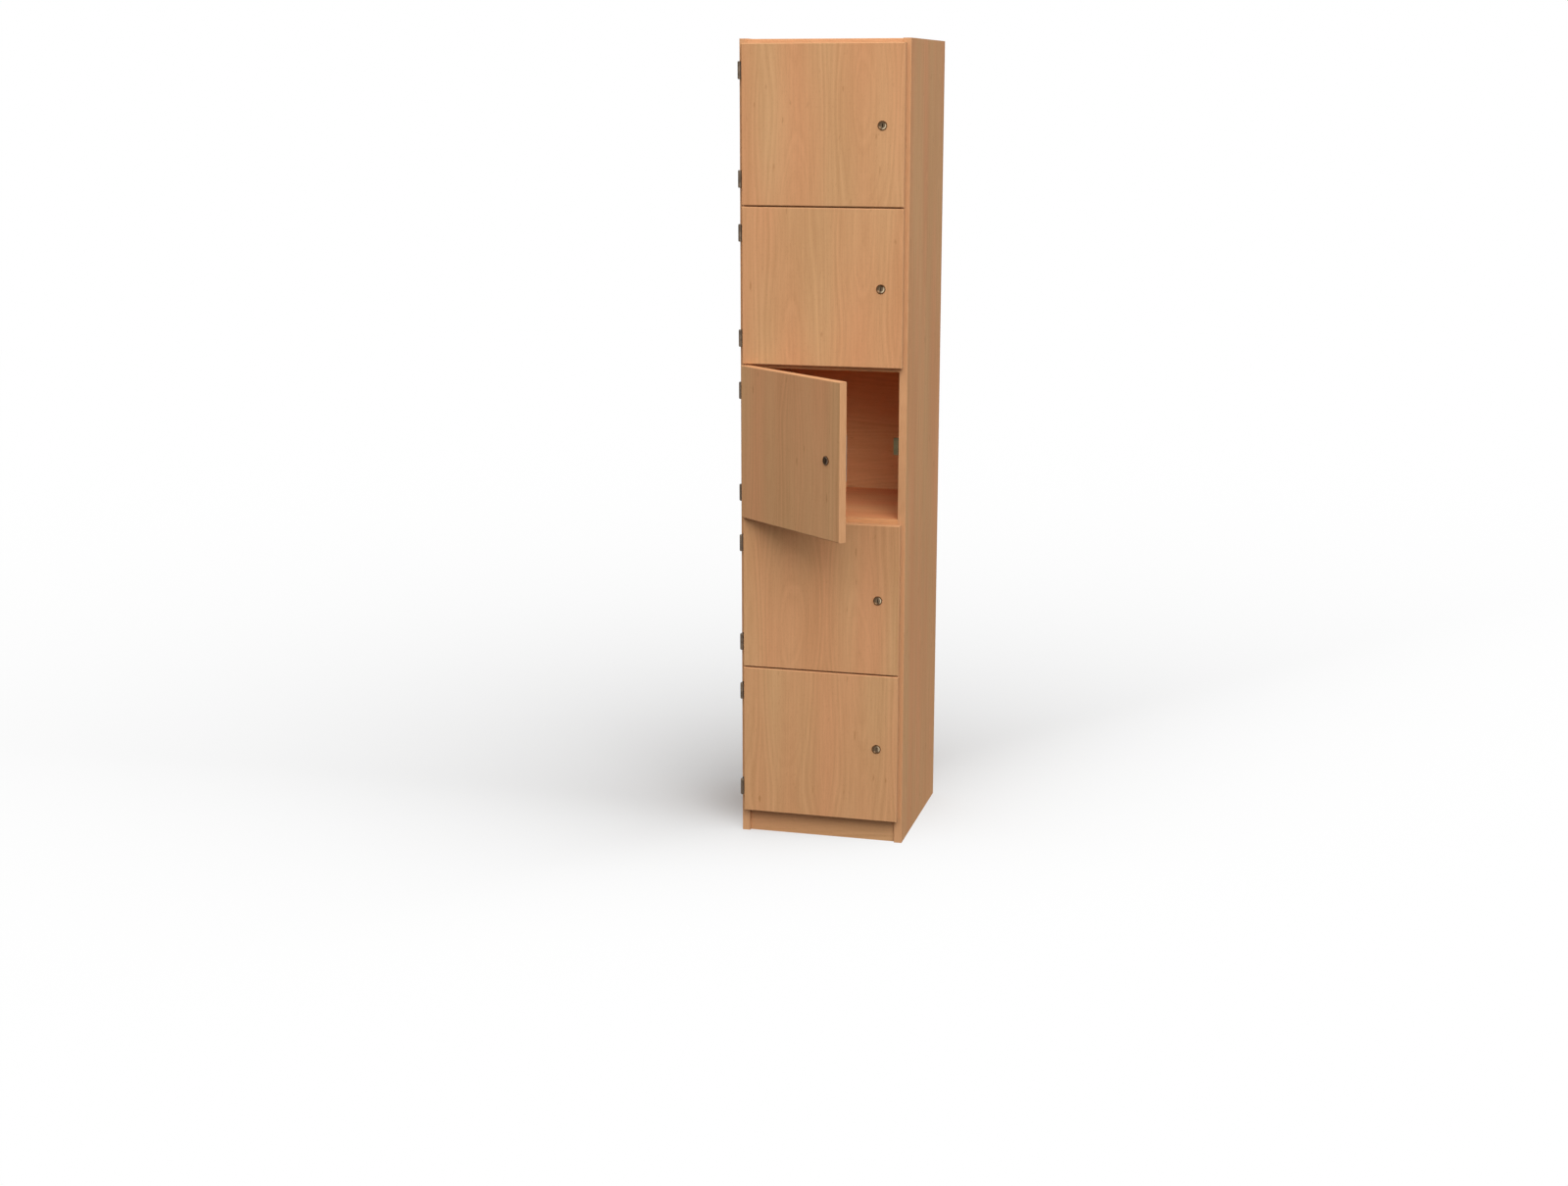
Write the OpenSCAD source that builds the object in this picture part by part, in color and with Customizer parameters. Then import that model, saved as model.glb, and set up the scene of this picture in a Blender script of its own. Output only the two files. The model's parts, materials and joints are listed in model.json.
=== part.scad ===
// Wooden coin locker: five doors in one column, each with a key lock that takes a coin.
// The floor is z = 0, the wall side of the back panel is y = 0, and the doors face -y.

/* [Cabinet] */
// Height of the side panels
cabinet_h = 1800; // [1500:10:2100]
// Width over the side panels
cabinet_w = 380; // [360:5:500]
// Depth of the carcass without its doors
cabinet_d = 380; // [300:5:550]
// Thickness of the carcass boards
board_t = 18; // [16:0.5:22]
// Thickness of the back panel
back_t = 8; // [5:0.5:12]
// Height of the plinth board
plinth_h = 57; // [45:1:100]
// Set-back of the plinth behind the front edges
plinth_setback = 7; // [3:1:40]
// Drop of the top panel below the tops of the sides
top_drop = 1; // [0:0.5:4]
// Rounding along the front edges of the boards
board_round = 1; // [0.5:0.25:2]

/* [Dowels] */
// Diameter of a dowel
dowel_d = 8; // [6:1:10]
// Length of a dowel
dowel_l = 32; // [26:1:40]
// Depth of a dowel in a side panel
dowel_in_side = 12; // [8:1:14]
// Distance of the outer dowels from the front and back of a joint
dowel_end = 60; // [40:5:100]

/* [Doors] */
// Thickness of the doors
door_t = 18; // [16:0.5:22]
// Gap between neighbouring doors
door_gap = 3; // [2:0.5:5]
// Overlap of the top door on the top panel
top_lap = 9; // [4:1:14]
// Overlap of the bottom door on the base panel, which it hides
base_lap = 19; // [6:1:24]
// Distance of the doors' free edges from the right side of the cabinet
free_margin = 8.4; // [6:0.2:10]
// Rounding of the doors' front edges
door_round = 2; // [0.5:0.25:4]
// Rounding of the doors' back edges
door_back_round = 1; // [0.5:0.25:1.5]
// Angle at which the middle door stands open
ajar = 39; // [0:1:90]

/* [Hinges] */
// Length of a hinge barrel
hinge_l = 38; // [30:1:60]
// Distance between the two hinges of a door
hinge_spread = 231; // [150:1:290]
// Diameter of a hinge barrel
hinge_d = 8; // [7:0.5:10]
// Diameter of a hinge pin
pin_d = 4; // [3:0.25:5]
// Distance of the barrels from the left side of the cabinet
hinge_in = 1.5; // [0:0.25:3]
// Distance of the pin in front of the carcass
pin_out = 20; // [11:0.5:22]
// Thickness of the hinge leaves
leaf_t = 2; // [1.5:0.1:2.5]
// Gap between the leaves of a closed hinge
leaf_gap = 0.5; // [0.3:0.1:1]
// Gap between a barrel and the edge of its door
edge_gap = 0.4; // [0.3:0.1:1]
// Length of a frame leaf along the side panel
frame_leaf_l = 32; // [24:1:50]
// Length of a door leaf across the back of its door
door_leaf_l = 34; // [26:1:50]
// Inner radius of the frame leaf's free bend
bend_r = 0.5; // [0.25:0.25:1]
// Number of knuckles in a barrel
knuckles = 5; // [3:2:7]
// Gap between neighbouring knuckles
knuckle_gap = 0.3; // [0.2:0.1:0.6]
// Chamfer of the barrel's tips
tip = 2; // [1:0.25:3]
// Solid end of a barrel beyond its pin
tip_wall = 2; // [1:0.5:4]

/* [Screws] */
// Diameter of a screw's shank
screw_d = 3.5; // [3:0.25:4]
// Diameter of a screw's countersunk head
screw_head_d = 7; // [6:0.25:7.25]
// Length of a screw
screw_l = 14; // [10:0.5:15]
// Distance of the leaf screws from the end of their leaf
leaf_screw_in = 9; // [6:1:14]
// Distance of the leaf and keeper screws above and below the middle
screw_rise = 10; // [6:1:12]

/* [Lock] */
// Distance of the lock from the free edge of the door
backset = 48; // [45:0.5:55]
// Diameter of the lock head on the front of the door
head_d = 20.5; // [19:0.5:26]
// Height of the lock head
head_t = 2; // [1.5:0.25:4]
// Chamfer round the lock head
head_chamfer = 0.6; // [0.25:0.05:1]
// Diameter of the dished face in the lock head
dish_d = 16.5; // [14:0.25:18]
// Depth of the dished face
dish_depth = 1.4; // [0.5:0.1:1.8]
// Diameter of the lock barrel through the door
lock_body_d = 16; // [14:0.5:18]
// Thickness of the nut behind the lock barrel
nut_t = 3; // [2:0.25:4]
// Width of the nut across its flats
nut_flats = 21; // [20:0.5:23]
// Diameter of the turning plug
plug_d = 11; // [9:0.25:12]
// Width of the keyway
keyway_w = 1.8; // [1:0.1:2.5]
// Height of the keyway
keyway_h = 8; // [5:0.25:8.5]
// Depth of the keyway
keyway_depth = 14; // [8:0.5:18]
// Diameter of the disc on the plug that carries the driver
disc_d = 19; // [18.5:0.5:20]
// Thickness of the driver disc
disc_t = 2.2; // [1.5:0.1:3]
// Distance of the driver pin from the axis of the plug
crank_r = 7; // [6:0.25:7.25]
// Diameter of the driver pin
driver_d = 4; // [3:0.25:4.5]
// Turn of the key between open and locked
key_turn = 90; // [80:5:90]

/* [Lock case] */
// Reach of the case towards the hinges, from the lock's axis
case_left = 40; // [38:0.5:50]
// Reach of the case above the lock's axis
case_up = 54; // [52:0.5:70]
// Reach of the case below the lock's axis
case_down = 50; // [48:0.5:70]
// Depth of the case with its cover
case_depth = 27.25; // [27.25:0.25:32]
// Wall of the case
case_wall = 2.5; // [2:0.1:3]
// Thickness of the cover
cover_t = 2; // [1.5:0.1:3]
// Corner radius of the case
case_round = 5; // [4:0.25:8]
// Height of the lip that locates the cover in the case
lip_h = 2; // [1:0.25:3]
// Wall of the lip and of the return cup
lip_wall = 1.5; // [1:0.1:2]
// Inset of the case screws from the walls
case_screw_in = 4; // [3.75:0.25:5]
// Thickness of the ribs that guide and hold the bolt
rib_t = 2; // [1:0.25:2]
// Distance of the cover's bolt rib from the side of the case
bolt_rib_in = 3.4; // [3:0.1:4.5]

/* [Bolt] */
// Height of the bolt's nose
bolt_h = 16; // [12:0.5:18]
// Thickness of the bolt
bolt_t = 6; // [4:0.25:7]
// Distance from the lock's axis to the shoulder of the bolt
shoulder = 1.25; // [1:0.25:2]
// Distance from the lock's axis to the tail of the bolt
bolt_tail = 20; // [16:0.5:21]
// Wall of the bolt over the driver's slot
slot_wall = 3.5; // [2.5:0.25:4]
// Rounding of the bolt's nose
nose_round = 2; // [1:0.25:4]

/* [Coin way] */
// Diameter of the coin
coin_d = 22.5; // [20:0.25:22.75]
// Thickness of the coin
coin_t = 2.4; // [1.5:0.1:3]
// Room around the coin in its slot
coin_room = 0.5; // [0.3:0.1:0.8]
// Distance of the coin's middle plane from the lock's axis
coin_left = 26; // [25.5:0.1:27]
// Height of the lower end of the coin slot above the lock's axis
coin_low = 25; // [24.5:0.25:26]
// Thickness of the ribs that guide the coin
coin_rib = 2; // [1.5:0.1:2.25]
// Height of the coin ribs above the lower end of the coin slot
coin_rib_rise = 4; // [3.5:0.25:8]
// Corner rounding of the coin slot
slot_round = 1.2; // [0.5:0.1:1.4]
// Border of the raised bezel round the coin slot
bezel = 3.5; // [2:0.25:4]
// Height of the bezel
bezel_h = 1; // [0.5:0.25:2]
// Width of the coin return's mouth
mouth_w = 24; // [18:0.5:26]
// Height of the coin return's mouth
mouth_h = 20; // [16:0.5:22]
// Height of the mouth's lower edge above the bottom of the case
mouth_rise = 6; // [5.5:0.25:8]
// Corner rounding of the mouth
mouth_round = 2; // [1:0.25:6]
// Depth of the coin return cup behind the cover
cup_depth = 16; // [10:0.5:18]

/* [Coin lever] */
// Distance of the lever's pivot from the lock's axis, towards the hinges
lever_left = 14; // [12:0.25:15]
// Height of the lever's pivot above the lock's axis
lever_up = 22; // [21:0.25:23]
// Diameter of the lever's hub
lever_hub_d = 10; // [8:0.25:10]
// Diameter of the pivot post
post_d = 4; // [3:0.25:5]
// Width of the lever's arms
arm_w = 5; // [4:0.25:5]
// Reach of the tail under the coin, from the pivot
tail_l = 15; // [14:0.25:16]
// Reach of the nose in front of the bolt's shoulder, from the pivot
nose_reach = 20.2; // [19.5:0.1:21]
// Width of the nose
nose_w = 5; // [3:0.25:6]

/* [Keepers] */
// Height of a keeper
keeper_h = 38; // [30:1:50]
// Reach of a keeper from the side panel
keeper_reach = 11.5; // [9:0.25:14]
// Length of a keeper's leg on the side panel
keeper_leg = 30; // [24:1:40]
// Thickness of the keeper
keeper_t = 2; // [1.5:0.1:2.5]
// Corner rounding of the keeper's flange
keeper_round = 2; // [1:0.25:5]
// Gap between a keeper and the drawn-back bolt of its door
keeper_gap = 3.4; // [3:0.1:4.4]
// Room between a keeper and the bolt behind it
keeper_room = 1; // [0.5:0.25:2]
// Distance of the keeper screws from the end of the leg
keeper_screw_in = 8; // [6:0.5:10]

/* [Fits] */
// Radial clearance of what is fixed in a hole
fixed_fit = 0.02; // [0.01:0.01:0.05]
// Radial clearance of what turns in a hole
turn_fit = 0.05; // [0.02:0.01:0.1]
// Clearance round what slides or rocks
slide_gap = 0.4; // [0.3:0.05:0.6]

/* [Hidden] */
door_count = 5;
open_door = 3;
// How far a cut or a joined shape reaches past its neighbour
over = 1;
$fn = 48;

half_w = cabinet_w / 2;
inner_x = half_w - board_t;
front_y = -cabinet_d;
top_z = cabinet_h - top_drop - board_t;
base_z = plinth_h;

standoff = 2 * leaf_t + leaf_gap;
door_back = front_y - standoff;
door_front = door_back - door_t;
hinge_r = hinge_d / 2;
door_left = half_w - hinge_in - hinge_d - edge_gap;
door_right = half_w - free_margin;
door_low = base_z + board_t - base_lap;
door_high = top_z + top_lap;
door_pitch = (door_high - door_low + door_gap) / door_count;
door_h = door_pitch - door_gap;

hinge_x = hinge_in + hinge_r - half_w;
hinge_y = front_y - pin_out;
knuckle_pitch = (hinge_l + knuckle_gap) / knuckles;
knuckle_l = knuckle_pitch - knuckle_gap;
knuckle_room = hinge_r + slide_gap;
leaf_edge = hinge_r + edge_gap;
leaf_back = pin_out - standoff;

screw_sink = (screw_head_d - screw_d) / 2;

lock_x = door_right - backset;
nut_back = case_wall + nut_t;
disc_v = nut_back + slide_gap;
bolt_v = disc_v + disc_t + slide_gap;
bolt_back = bolt_v + bolt_t;
cover_v = case_depth - cover_t;
crank_side = crank_r * sin(key_turn / 2);
crank_low = crank_r * cos(key_turn / 2);
slot_r = driver_d / 2 + slide_gap;
bolt_top = crank_r + slot_r + slot_wall;
bolt_tip = inner_x - keeper_reach - keeper_gap - lock_x;
// The side wall of the case is just beyond the lever's nose and the shoulder of the thrown bolt.
case_right = max(nose_reach + nose_w - lever_left, shoulder + 2 * crank_side) + slide_gap + case_wall;
keeper_y = door_back + bolt_v - keeper_room - keeper_t;
coin_gap = coin_t + 2 * coin_room;
coin_slot_h = coin_d + 2 * coin_room;
mouth_low = mouth_rise - case_down;
mouth_left = case_wall + slide_gap + lip_wall - case_left;

board_tone = "#c8966a";
edge_tone = "#d29b6c";
inside_tone = "#a9744d";
metal_tone = "#5f544c";
keeper_tone = "#8d8470";
lock_tone = "#b8ab98";
case_tone = "#77736c";

board_names = ["left_side", "right_side", "top_panel", "base_panel", "back_panel", "plinth"];
shelf_names = [for (k = [1 : door_count - 1]) str("shelf_", k)];
fixed_names = ["dowels", "hinge_frame_leaves", "hinge_pins", "keepers", "carcass_screws"];
door_pieces = ["door_panel", "hinge_door_leaves", "lock_case", "lock_cover", "lock_barrel",
    "lock_plug", "lock_bolt", "coin_lever", "door_fasteners"];
door_names = [for (piece = door_pieces) for (k = [1 : door_count]) str(piece, "_", k)];

// Doors count from the top, and shelf k is under door k.
function door_bottom(k) = door_low + (door_count - k) * door_pitch;
function door_mid(k) = door_bottom(k) + door_h / 2;
function door_angle(k) = k == open_door ? ajar : 0;
function shelf_z(k) = door_bottom(k) - door_gap / 2 - board_t / 2;
function hinge_heights(k) = [door_mid(k) - hinge_spread / 2, door_mid(k) + hinge_spread / 2];

all_hinges = [for (k = [1 : door_count]) for (z = hinge_heights(k)) z];
level_z = concat([top_z, base_z], [for (k = [1 : door_count - 1]) shelf_z(k)]);
dowel_y = [front_y + dowel_end, -back_t - dowel_end];
board_dowels = [for (z = level_z) for (y = dowel_y) [y, z + board_t / 2]];
plinth_dowels = [[front_y + plinth_setback + board_t / 2, plinth_h / 2]];
leaf_screws = [for (z = all_hinges) for (s = [-1, 1])
    [front_y + frame_leaf_l - leaf_screw_in, z + s * screw_rise]];
keeper_screws = [for (k = [1 : door_count]) for (s = [-1, 1])
    [keeper_y + keeper_leg - keeper_screw_in, door_mid(k) + s * screw_rise]];
case_screws = [for (u = [case_wall + case_screw_in - case_left, case_right - case_wall - case_screw_in])
    for (w = [case_wall + case_screw_in - case_down, case_up - case_wall - case_screw_in]) [u, w]];

// Flat shapes

module corner_cut(r) {
    difference() {
        translate([-over, -over]) square(r + over);
        translate([r, r]) circle(r);
    }
}

// A rectangle whose two lower corners have one radius and whose upper corners have another.
module soft_rect(x0, x1, y0, y1, low_r, high_r) {
    difference() {
        translate([x0, y0]) square([x1 - x0, y1 - y0]);
        for (s = [0, 1]) {
            translate([s ? x1 : x0, y0]) mirror([s, 0]) corner_cut(low_r);
            if (high_r > 0) translate([s ? x1 : x0, y1]) mirror([s, 0]) mirror([0, 1]) corner_cut(high_r);
        }
    }
}

module box2(x0, x1, y0, y1) {
    translate([x0, y0]) square([x1 - x0, y1 - y0]);
}

// A quarter of a ring, in the quadrant that the signs give.
module bend(x, y, r, t, sx, sy) {
    translate([x, y]) intersection() {
        difference() {
            circle(r + t);
            circle(r);
        }
        mirror([sx < 0 ? 1 : 0, 0]) mirror([0, sy < 0 ? 1 : 0]) square(r + t + over);
    }
}

// Places

module upright(z0, z1) {
    translate([0, 0, z0]) linear_extrude(z1 - z0) children();
}

// A flat shape drawn across the front, as thick as from y0 to y1.
module facing(y0, y1) {
    translate([0, y1, 0]) rotate([90, 0, 0]) linear_extrude(y1 - y0) children();
}

// A flat shape drawn in depth and height, as long as from x0 to x1.
module lengthwise(x0, x1) {
    translate([x0, 0, 0]) rotate([90, 0, 90]) linear_extrude(x1 - x0) children();
}

module rod(d, y0, y1) {
    facing(y0, y1) circle(d = d);
}

module on_door(k) {
    translate([hinge_x, hinge_y, door_mid(k)]) rotate([0, 0, -door_angle(k)])
        translate([-hinge_x, -hinge_y, 0]) children();
}

// The lock's own place: x from its axis, y from the back of the door, z from its axis.
module at_lock(k) {
    on_door(k) translate([lock_x, door_back, 0]) children();
}

// Fasteners

// A screw along +z from the face of its countersunk head.
module screw() {
    cylinder(h = screw_sink, d1 = screw_head_d, d2 = screw_d);
    cylinder(h = screw_l, d = screw_d);
}

// The hole for a screw, open above its head.
module screw_hole() {
    head_r = screw_head_d / 2 + fixed_fit;
    shank_r = screw_d / 2 + fixed_fit;
    rotate_extrude() polygon([
        [0, -over],
        [head_r, -over],
        [head_r, 0],
        [shank_r, screw_sink],
        [shank_r, screw_l],
        [0, screw_l],
    ]);
}

module at_frame_leaf_screws() {
    for (p = leaf_screws) translate([leaf_t - inner_x, p[0], p[1]]) rotate([0, -90, 0]) children();
}

module at_keeper_screws() {
    for (p = keeper_screws) translate([inner_x - keeper_t, p[0], p[1]]) rotate([0, 90, 0]) children();
}

module at_door_leaf_screws() {
    for (s = [-1, 1]) for (t = [-1, 1])
        translate([door_leaf_l - door_left - leaf_screw_in, door_back + leaf_t,
            s * hinge_spread / 2 + t * screw_rise]) rotate([90, 0, 0]) children();
}

module at_case_screws() {
    for (p = case_screws) translate([p[0], case_wall, p[1]]) rotate([90, 0, 0]) children();
}

module dowel_set(spots, fit) {
    for (p = spots) for (s = [-1, 1])
        translate([s * (inner_x + dowel_in_side - dowel_l / 2), p[0], p[1]]) rotate([0, 90, 0])
            cylinder(h = dowel_l, d = dowel_d + 2 * fit, center = true);
}

// Carcass

module side_board() {
    difference() {
        upright(0, cabinet_h) soft_rect(inner_x, half_w, front_y, 0, board_round, 0);
        dowel_set(concat(board_dowels, plinth_dowels), fixed_fit);
        children();
    }
}

module left_side() {
    color(board_tone) mirror([1, 0, 0]) side_board() mirror([1, 0, 0]) at_frame_leaf_screws() screw_hole();
}

module right_side() {
    color(board_tone) side_board() at_keeper_screws() screw_hole();
}

module level_board(z) {
    difference() {
        lengthwise(-inner_x, inner_x) rotate(-90)
            soft_rect(-z - board_t, -z, front_y, -back_t, board_round, 0);
        dowel_set([for (y = dowel_y) [y, z + board_t / 2]], fixed_fit);
    }
}

module top_panel() {
    color(edge_tone) level_board(top_z);
}

module base_panel() {
    color(inside_tone) level_board(base_z);
}

module shelf(k) {
    color(inside_tone) level_board(shelf_z(k));
}

module back_panel() {
    color(inside_tone) facing(-back_t, 0) box2(-inner_x, inner_x, 0, top_z + board_t);
}

module plinth() {
    color(board_tone) difference() {
        facing(front_y + plinth_setback, front_y + plinth_setback + board_t)
            box2(-inner_x, inner_x, 0, plinth_h);
        dowel_set(plinth_dowels, fixed_fit);
    }
}

module dowels() {
    color("#d8b98c") dowel_set(concat(board_dowels, plinth_dowels), 0);
}

module carcass_screws() {
    color(lock_tone) {
        at_frame_leaf_screws() screw();
        at_keeper_screws() screw();
    }
}

module keeper_shape() {
    turn = bend_r + keeper_t;
    back = keeper_y + keeper_t;
    box2(inner_x - keeper_reach, inner_x - turn, keeper_y, back);
    bend(inner_x - turn, keeper_y + turn, bend_r, keeper_t, 1, -1);
    box2(inner_x - keeper_t, inner_x, keeper_y + turn, keeper_y + keeper_leg);
}

module keepers() {
    color(keeper_tone) for (k = [1 : door_count]) translate([0, 0, door_mid(k)]) difference() {
        intersection() {
            upright(-keeper_h / 2, keeper_h / 2) keeper_shape();
            facing(keeper_y, keeper_y + keeper_leg) rotate(-90)
                soft_rect(-keeper_h / 2, keeper_h / 2, inner_x - keeper_reach, inner_x, keeper_round, 0);
        }
        translate([0, 0, -door_mid(k)]) at_keeper_screws() screw_hole();
    }
}

// Hinges, drawn round the pin with x and y as on the closed door

module frame_leaf_shape() {
    turn = leaf_t + bend_r;
    corner = board_t - hinge_in - hinge_r;
    box2(-hinge_r, leaf_t - hinge_r, knuckle_room, pin_out - turn);
    bend(turn - hinge_r, pin_out - turn, bend_r, leaf_t, -1, 1);
    box2(turn - hinge_r, corner - board_round, pin_out - leaf_t, pin_out);
    bend(corner - board_round, pin_out + board_round, board_round, leaf_t, 1, -1);
    box2(corner, corner + leaf_t, pin_out + board_round, pin_out + frame_leaf_l);
}

module door_leaf_shape() {
    turn = leaf_back - door_back_round;
    box2(leaf_edge - leaf_t, leaf_edge, knuckle_room, turn);
    bend(leaf_edge + door_back_round, turn, door_back_round, leaf_t, -1, 1);
    box2(leaf_edge + door_back_round, leaf_edge + door_leaf_l, leaf_back, leaf_back + leaf_t);
}

// Barrel with both tips chamfered, cut to one knuckle of each leaf in turn.
module barrel() {
    straight = hinge_l - 2 * tip;
    translate([0, 0, -hinge_l / 2]) cylinder(h = tip, r1 = hinge_r - tip / 2, r2 = hinge_r);
    cylinder(h = straight, r = hinge_r, center = true);
    translate([0, 0, hinge_l / 2 - tip]) cylinder(h = tip, r1 = hinge_r, r2 = hinge_r - tip / 2);
}

// The knuckles of one leaf, counted from first in twos, with a finger from each to the leaf.
module leaf_knuckles(first, finger_x) {
    for (i = [first : 2 : knuckles - 1]) {
        low = i * knuckle_pitch - hinge_l / 2;
        intersection() {
            barrel();
            upright(low, low + knuckle_l) square(2 * hinge_d, center = true);
        }
        end = i == 0 || i == knuckles - 1 ? tip : 0;
        upright(low + (i == 0 ? end : 0), low + knuckle_l - (i == 0 ? 0 : end))
            box2(finger_x, finger_x + leaf_t, 0, knuckle_room + over);
    }
}

module pin_hole(fit) {
    cylinder(h = hinge_l - 2 * tip_wall, d = pin_d + 2 * fit, center = true);
}

module hinge_frame_leaves() {
    color(metal_tone) difference() {
        for (z = all_hinges) translate([hinge_x, hinge_y, z]) difference() {
            union() {
                upright(-hinge_l / 2 + tip, hinge_l / 2 - tip) frame_leaf_shape();
                leaf_knuckles(0, -hinge_r);
            }
            pin_hole(fixed_fit);
        }
        at_frame_leaf_screws() screw_hole();
    }
}

module hinge_pins() {
    color(lock_tone) for (z = all_hinges) translate([hinge_x, hinge_y, z]) pin_hole(0);
}

module hinge_door_leaves(k) {
    color(metal_tone) on_door(k) difference() {
        for (s = [-1, 1]) translate([hinge_x, hinge_y, s * hinge_spread / 2]) difference() {
            union() {
                upright(-hinge_l / 2 + tip, hinge_l / 2 - tip) door_leaf_shape();
                leaf_knuckles(1, leaf_edge - leaf_t);
            }
            pin_hole(turn_fit);
        }
        at_door_leaf_screws() screw_hole();
    }
}

// Doors

module door_panel(k) {
    color(board_tone) on_door(k) difference() {
        intersection() {
            upright(-door_h / 2, door_h / 2)
                soft_rect(-door_left, door_right, door_front, door_back, door_round, door_back_round);
            lengthwise(-door_left, door_right) rotate(-90)
                soft_rect(-door_h / 2, door_h / 2, door_front, door_back, door_round, door_back_round);
        }
        at_door_leaf_screws() screw_hole();
        translate([lock_x, door_back, 0]) {
            at_case_screws() screw_hole();
            rod(lock_body_d + 2 * fixed_fit, -door_t - over, over);
        }
    }
}

module door_fasteners(k) {
    color(lock_tone) {
        on_door(k) at_door_leaf_screws() screw();
        at_lock(k) {
            at_case_screws() screw();
            facing(case_wall, nut_back) difference() {
                rotate(30) circle(d = nut_flats / cos(30), $fn = 6);
                circle(d = lock_body_d + 2 * fixed_fit);
            }
        }
    }
}

// Lock, with radius and distance towards the front as the turned outline

module turned() {
    rotate([90, 0, 0]) rotate_extrude() children();
}

module lock_barrel(k) {
    bore = plug_d / 2 + turn_fit;
    rim = door_t + head_t;
    color(lock_tone) at_lock(k) turned() polygon([
        [bore, -nut_back],
        [lock_body_d / 2, -nut_back],
        [lock_body_d / 2, door_t],
        [head_d / 2, door_t],
        [head_d / 2, rim - head_chamfer],
        [head_d / 2 - head_chamfer, rim],
        [dish_d / 2, rim],
        [bore, rim - dish_depth],
    ]);
}

module lock_plug(k) {
    face = door_t + head_t - dish_depth;
    color(lock_tone) at_lock(k) {
        difference() {
            rod(plug_d, -face, disc_v + over / 2);
            facing(-face - over, keyway_depth - face) square([keyway_w, keyway_h], center = true);
        }
        rod(disc_d, disc_v, disc_v + disc_t);
        translate([-crank_side, 0, crank_low]) rod(driver_d, disc_v + disc_t / 2, bolt_back + slide_gap);
    }
}

module bolt_shape() {
    difference() {
        union() {
            box2(-bolt_tail, shoulder, -bolt_h / 2, bolt_top);
            rotate(90) soft_rect(-bolt_h / 2, bolt_h / 2, -bolt_tip, -shoulder + over, nose_round, 0);
        }
        translate([-crank_side, 0]) {
            translate([0, crank_low]) circle(slot_r);
            box2(-slot_r, slot_r, crank_low, crank_r);
            translate([0, crank_r]) circle(slot_r);
        }
    }
}

module lock_bolt(k) {
    color(lock_tone) at_lock(k) facing(bolt_v, bolt_back) bolt_shape();
}

module lever_shape() {
    under = bolt_top + slide_gap - lever_up;
    difference() {
        union() {
            circle(d = lever_hub_d);
            box2(-tail_l, 0, -arm_w / 2, 0);
            box2(0, nose_reach + nose_w, -arm_w / 2, arm_w / 2);
            box2(nose_reach, nose_reach + nose_w, under, 0);
        }
        circle(d = post_d + 2 * turn_fit);
    }
}

module coin_lever(k) {
    color("#8a8f94") at_lock(k) facing(bolt_v + slide_gap, bolt_back - slide_gap)
        translate([-lever_left, lever_up]) lever_shape();
}

// Lock case

module case_shape(inset) {
    r = case_round - min(inset, case_round - over);
    soft_rect(inset - case_left, case_right - inset, inset - case_down, case_up - inset, r, r);
}

// What stands on the floor of the case: coin guides, the bolt's bed and guides, and the lever's post.
module case_inside() {
    rib_back = cover_v - lip_h - slide_gap;
    bed_back = bolt_v - slide_gap;
    guide_low = -bolt_h / 2 - slide_gap;
    guide_high = bolt_top + slide_gap;
    bed_side = max(disc_d, nut_flats) / 2 + slide_gap;
    floor_v = case_wall - over;
    for (s = [-1, 1]) facing(floor_v, rib_back) translate([s * (coin_gap + coin_rib) / 2 - coin_left, 0])
        box2(-coin_rib / 2, coin_rib / 2, coin_low + coin_rib_rise, case_up - case_wall + over);
    facing(floor_v, bed_back) box2(-bolt_tail, -bed_side, guide_low, guide_high);
    facing(floor_v, bolt_back) {
        box2(-bolt_tail, -bed_side, guide_low - rib_t, guide_low);
        box2(-bolt_tail, -shoulder, guide_high, guide_high + rib_t);
    }
    translate([-lever_left, 0, lever_up]) rod(post_d, floor_v, bolt_back + slide_gap);
}

module lock_case(k) {
    color(case_tone) at_lock(k) difference() {
        union() {
            difference() {
                facing(0, cover_v) case_shape(0);
                facing(case_wall, cover_v + over) case_shape(case_wall);
            }
            case_inside();
        }
        rod(lock_body_d + 2 * fixed_fit, -over, case_wall + over);
        at_case_screws() screw_hole();
        facing(bolt_v - slide_gap, bolt_back + slide_gap)
            translate([case_right, 0]) square([2 * (case_wall + over), bolt_h + 2 * slide_gap], center = true);
    }
}

module coin_slot_shape(border) {
    w = coin_gap / 2 + border;
    r = slot_round + border;
    translate([-coin_left, coin_low - coin_room]) soft_rect(-w, w, -border, coin_slot_h + border, r, r);
}

module mouth_shape(wall) {
    right = mouth_left + mouth_w;
    soft_rect(mouth_left - wall, right + wall, mouth_low - wall, mouth_low + mouth_h, mouth_round + wall, 0);
}

module lock_cover(k) {
    lip_in = case_wall + slide_gap / 2;
    color(case_tone) at_lock(k) difference() {
        union() {
            facing(cover_v, case_depth) case_shape(0);
            facing(cover_v - lip_h, cover_v + over) difference() {
                case_shape(lip_in);
                case_shape(lip_in + lip_wall);
            }
            facing(case_depth - over, case_depth + bezel_h) coin_slot_shape(bezel);
            facing(cover_v - cup_depth, cover_v + over) mouth_shape(lip_wall);
            facing(bolt_back + slide_gap, cover_v + over)
                box2(case_right - bolt_rib_in - rib_t, case_right - bolt_rib_in, -bolt_h / 2, bolt_h / 2);
        }
        facing(cover_v - lip_h - over, case_depth + bezel_h + over) coin_slot_shape(0);
        facing(cover_v - cup_depth + lip_wall, case_depth + over) mouth_shape(0);
    }
}

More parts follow.
